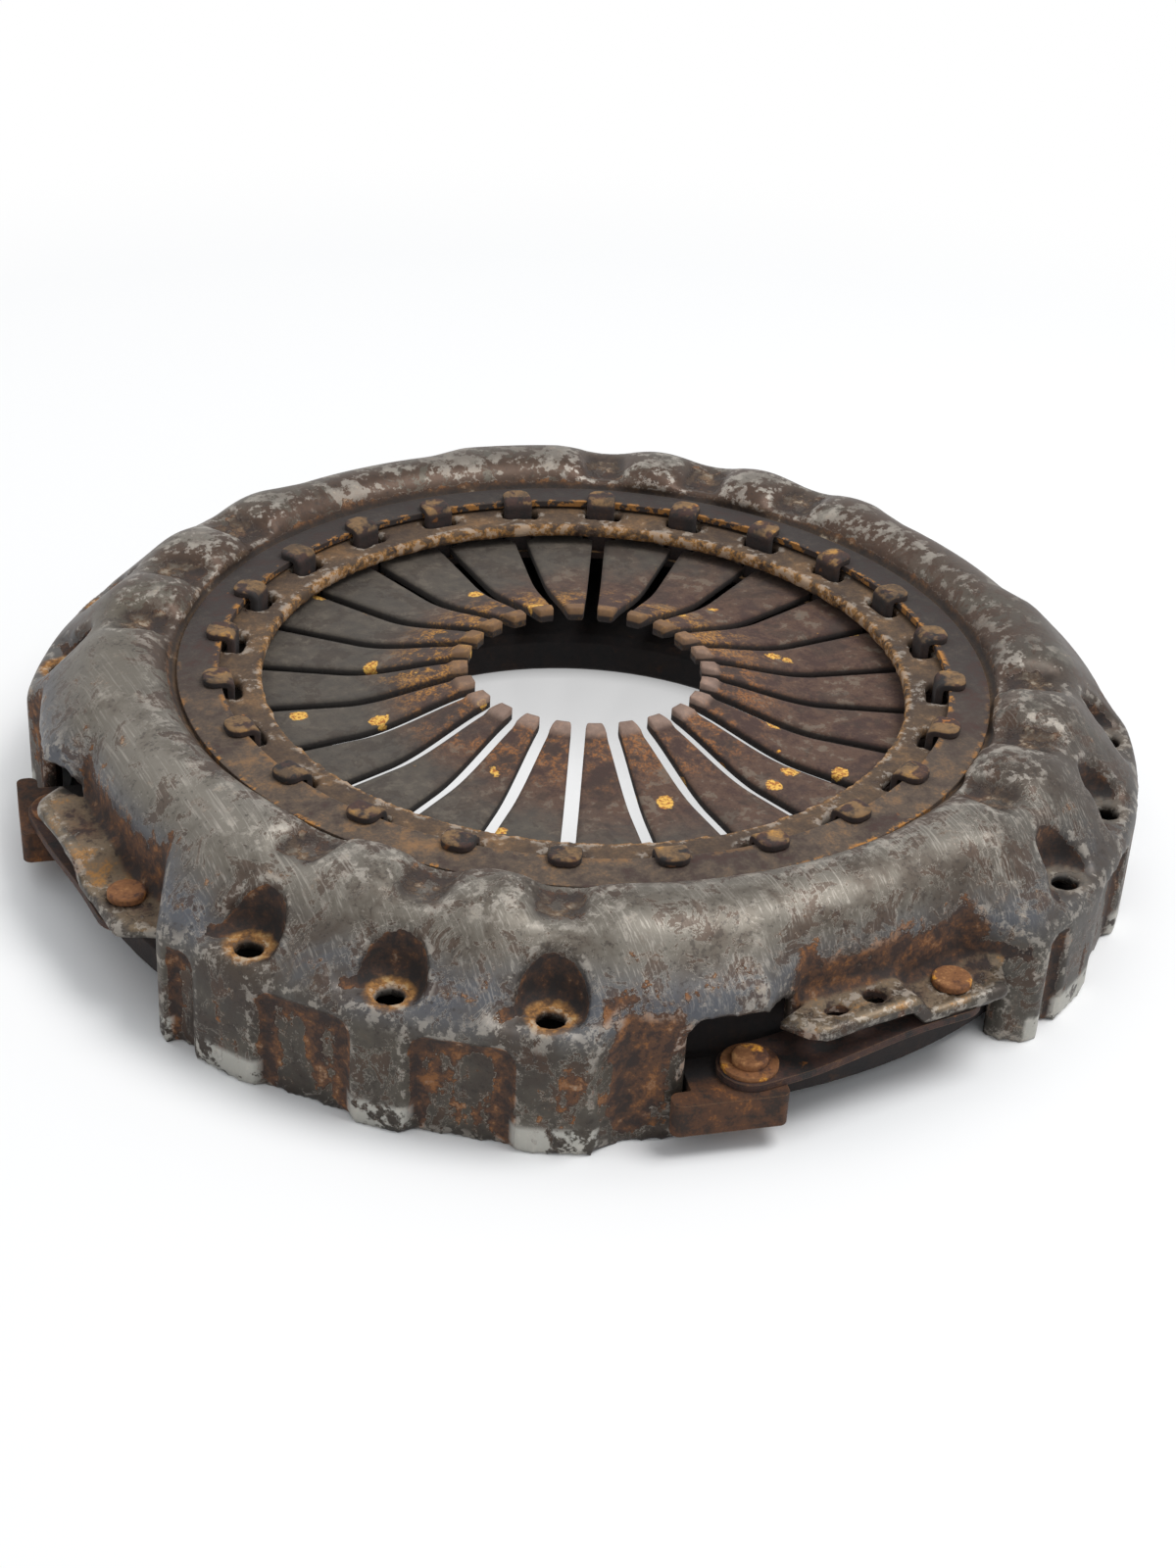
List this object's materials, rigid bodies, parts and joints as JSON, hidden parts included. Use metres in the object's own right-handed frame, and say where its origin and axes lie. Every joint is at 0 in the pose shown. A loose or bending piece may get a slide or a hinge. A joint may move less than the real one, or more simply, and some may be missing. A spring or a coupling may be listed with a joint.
{
  "type": "clutch pressure plate",
  "caption": "Heavy-truck diaphragm clutch cover assembly: pressed cover, fingered spring held by bent hooks, and a sliding cast pressure plate on leaf straps.",
  "frame": {"origin": "centre of the face that bolts to the flywheel, on the clutch axis", "axes": "+Z along the clutch axis towards the release bearing, +X and +Y each 45 degrees from the middle bolts of two groups, along a finger slot"},
  "size_m": [0.4734, 0.4734, 0.0836],
  "materials": {
    "worn_cover_steel": "worn grey pressing with rust in the recesses",
    "spring_steel": "dark spring steel with brown rust film",
    "ring_steel": "dark drawn wire",
    "hook_steel": "brown rusted strip with rubbed tops",
    "preload_steel": "blue-grey spring steel with rust streaks",
    "plate_iron": "rusted grey iron, ground friction face",
    "strap_steel": "dark oiled spring steel",
    "rivet_steel": "orange-brown rusted steel"
  },
  "bodies": {
    "cover": {"cover": "worn_cover_steel", "diaphragm_spring": "spring_steel", "upper_fulcrum_ring": "ring_steel", "lower_fulcrum_ring": "ring_steel", "hook_ring": "hook_steel", "preload_ring": "preload_steel", "strap_1_leaf_1": "strap_steel", "strap_1_leaf_2": "strap_steel", "strap_1_leaf_3": "strap_steel", "strap_2_leaf_1": "strap_steel", "strap_2_leaf_2": "strap_steel", "strap_2_leaf_3": "strap_steel", "strap_3_leaf_1": "strap_steel", "strap_3_leaf_2": "strap_steel", "strap_3_leaf_3": "strap_steel", "strap_4_leaf_1": "strap_steel", "strap_4_leaf_2": "strap_steel", "strap_4_leaf_3": "strap_steel", "tongue_rivet_1": "rivet_steel", "tongue_rivet_2": "rivet_steel", "tongue_rivet_3": "rivet_steel", "tongue_rivet_4": "rivet_steel"},
    "pressure_plate": {"pressure_plate": "plate_iron", "lug_rivet_1": "rivet_steel", "lug_rivet_2": "rivet_steel", "lug_rivet_3": "rivet_steel", "lug_rivet_4": "rivet_steel", "strap_washer_1": "rivet_steel", "strap_washer_2": "rivet_steel", "strap_washer_3": "rivet_steel", "strap_washer_4": "rivet_steel"}
  },
  "joints": [
    {"name": "plate_lift", "type": "slide", "parent": "cover", "child": "pressure_plate", "axis": [0, 0, 1], "range_m": [0, 0.006], "stiffness_N_per_m": 60000, "deforming": ["diaphragm_spring", "strap_1_leaf_1", "strap_1_leaf_2", "strap_1_leaf_3", "strap_2_leaf_1", "strap_2_leaf_2", "strap_2_leaf_3", "strap_3_leaf_1", "strap_3_leaf_2", "strap_3_leaf_3", "strap_4_leaf_1", "strap_4_leaf_2", "strap_4_leaf_3"]}
  ]
}
